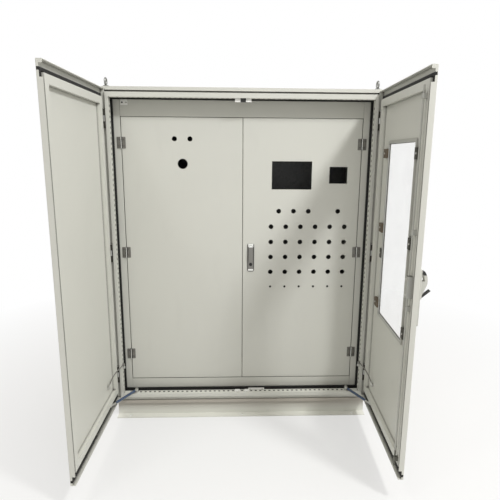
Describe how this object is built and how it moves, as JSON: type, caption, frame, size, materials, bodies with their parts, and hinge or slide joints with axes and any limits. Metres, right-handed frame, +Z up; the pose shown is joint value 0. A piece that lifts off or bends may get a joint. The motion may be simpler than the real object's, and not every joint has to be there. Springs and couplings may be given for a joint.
{
  "type": "double-door control cabinet",
  "caption": "Free-standing steel control cabinet with hinged outer doors, a window, a rod lock, inner panel doors with cut-outs, door stays, lifting eyes and a bolt-down plinth.",
  "frame": {"origin": "on the floor, at the middle of the plinth's floor bolts", "axes": "+Z up, the doors are on the -Y side, +X to the right as seen from the front"},
  "size_m": [1.2612, 1.042, 1.595],
  "materials": {
    "cabinet_paint": "textured light warm grey powder coat",
    "hinge_black": "black painted casting",
    "zinc": "bright zinc plate",
    "galvanised": "galvanised sheet",
    "stainless": "brushed stainless steel",
    "sleeve_blue": "steel-blue plastic sleeve",
    "rail_grey": "dark passivated steel",
    "gasket_black": "black foamed seal",
    "clear_pane": "clear acrylic",
    "window_metal": "satin aluminium angle",
    "block_brown": "brown moulded block",
    "handle_black": "black moulded plastic",
    "handle_metal": "grey painted die casting",
    "strap_sheath": "dark sheathed earth lead",
    "keeper_white": "white moulded keeper"
  },
  "bodies": {
    "cabinet": {"plinth_cross_rails": "cabinet_paint", "plinth_side_rails": "cabinet_paint", "front_post_left": "cabinet_paint", "front_post_right": "cabinet_paint", "front_rail_top": "cabinet_paint", "front_rail_bottom": "cabinet_paint", "side_panel_left": "cabinet_paint", "side_panel_right": "cabinet_paint", "roof_panel": "cabinet_paint", "floor_panel": "cabinet_paint", "rear_panel": "cabinet_paint", "mounting_plate": "galvanised", "lifting_eyes": "zinc", "inner_frame_left": "cabinet_paint", "inner_frame_right": "cabinet_paint", "inner_frame_top": "cabinet_paint", "inner_frame_bottom": "cabinet_paint", "inner_frame_brackets": "cabinet_paint", "screwed_plates": "keeper_white", "rod_keepers": "keeper_white", "outer_hinge_lugs": "hinge_black", "outer_hinge_pins": "zinc", "inner_hinge_fixed_leaves": "stainless", "stay_pivots": "zinc", "left_earth_strap": "strap_sheath", "right_earth_strap": "strap_sheath"},
    "left_outer_door": {"left_door_panel": "cabinet_paint", "left_door_stiffeners": "cabinet_paint", "left_door_gasket": "gasket_black", "left_door_hinge_leaves": "zinc", "left_stay_rail": "rail_grey"},
    "right_outer_door": {"right_door_panel": "cabinet_paint", "right_door_stiffeners": "cabinet_paint", "right_door_gasket": "gasket_black", "right_door_hinge_leaves": "zinc", "right_stay_rail": "rail_grey", "window_pane": "clear_pane", "window_frame": "window_metal", "window_clips": "hinge_black", "window_blocks": "block_brown", "handle_dish": "cabinet_paint", "lock_case": "rail_grey", "rod_guides": "rail_grey"},
    "swing_handle": {"handle_lever": "handle_metal", "lock_cam": "zinc"},
    "key_flap": {"key_cover": "handle_black"},
    "upper_lock_rod": {"upper_rod": "rail_grey"},
    "lower_lock_rod": {"lower_rod": "rail_grey"},
    "left_stay": {"left_stay_rod": "zinc", "left_stay_sleeve": "sleeve_blue"},
    "right_stay": {"right_stay_rod": "zinc", "right_stay_sleeve": "sleeve_blue"},
    "left_inner_door": {"left_inner_panel": "cabinet_paint", "left_inner_hinge_leaves": "stainless"},
    "right_inner_door": {"right_inner_panel": "cabinet_paint", "right_inner_hinge_leaves": "stainless", "inner_handle_housing": "stainless"},
    "inner_handle": {"inner_handle_lever": "stainless", "inner_handle_tongue": "zinc"}
  },
  "joints": [
    {"name": "left_door_swing", "type": "hinge", "parent": "cabinet", "child": "left_outer_door", "pos_m": [-0.6025, -0.21, 0.821], "axis": [0, 0, -1], "range_deg": [-91.2, 3.8], "deforming": ["left_earth_strap"]},
    {"name": "right_door_swing", "type": "hinge", "parent": "cabinet", "child": "right_outer_door", "pos_m": [0.6025, -0.21, 0.821], "axis": [0, 0, 1], "range_deg": [-87, 3.5], "deforming": ["right_earth_strap"]},
    {"name": "left_stay_turn", "type": "hinge", "parent": "cabinet", "child": "left_stay", "pos_m": [-0.52, -0.192, 0.13], "axis": [0, 0, -1], "range_deg": [-114.1, 4.75]},
    {"name": "right_stay_turn", "type": "hinge", "parent": "cabinet", "child": "right_stay", "pos_m": [0.52, -0.192, 0.13], "axis": [0, 0, 1], "range_deg": [-110.37, 10.15]},
    {"name": "left_inner_swing", "type": "hinge", "parent": "cabinet", "child": "left_inner_door", "pos_m": [-0.54875, -0.1475, 0.8], "axis": [0, 0, -1], "range_deg": [0, 85]},
    {"name": "right_inner_swing", "type": "hinge", "parent": "cabinet", "child": "right_inner_door", "pos_m": [0.54875, -0.1475, 0.8], "axis": [0, 0, 1], "range_deg": [0, 85]},
    {"name": "inner_handle_turn", "type": "hinge", "parent": "right_inner_door", "child": "inner_handle", "pos_m": [0.0395, -0.147, 0.836], "axis": [0, -1, 0], "range_deg": [0, 90]},
    {"name": "swing_handle_turn", "type": "hinge", "parent": "right_outer_door", "child": "swing_handle", "pos_m": [0.59556, -0.78192, 0.82824], "axis": [-0.9986, 0.0523, 0], "range_deg": [0, 90]},
    {"name": "key_cover_flip", "type": "hinge", "parent": "swing_handle", "child": "key_flap", "pos_m": [0.59885, -0.78209, 0.79024], "axis": [0.0523, 0.9986, 0], "range_deg": [-18, 75]},
    {"name": "upper_rod_slide", "type": "slide", "parent": "right_outer_door", "child": "upper_lock_rod", "axis": [0, 0, 1], "range_m": [0, 0.014]},
    {"name": "lower_rod_slide", "type": "slide", "parent": "right_outer_door", "child": "lower_lock_rod", "axis": [0, 0, -1], "range_m": [0, 0.014]}
  ],
  "couplings": [
    {"joint": "left_stay_turn", "follows": "left_door_swing", "ratio": 1.2511},
    {"joint": "right_stay_turn", "follows": "right_door_swing", "ratio": 1.2686},
    {"joint": "upper_rod_slide", "follows": "swing_handle_turn", "m_per_rad": 0.0089127},
    {"joint": "lower_rod_slide", "follows": "swing_handle_turn", "m_per_rad": 0.0089127}
  ]
}
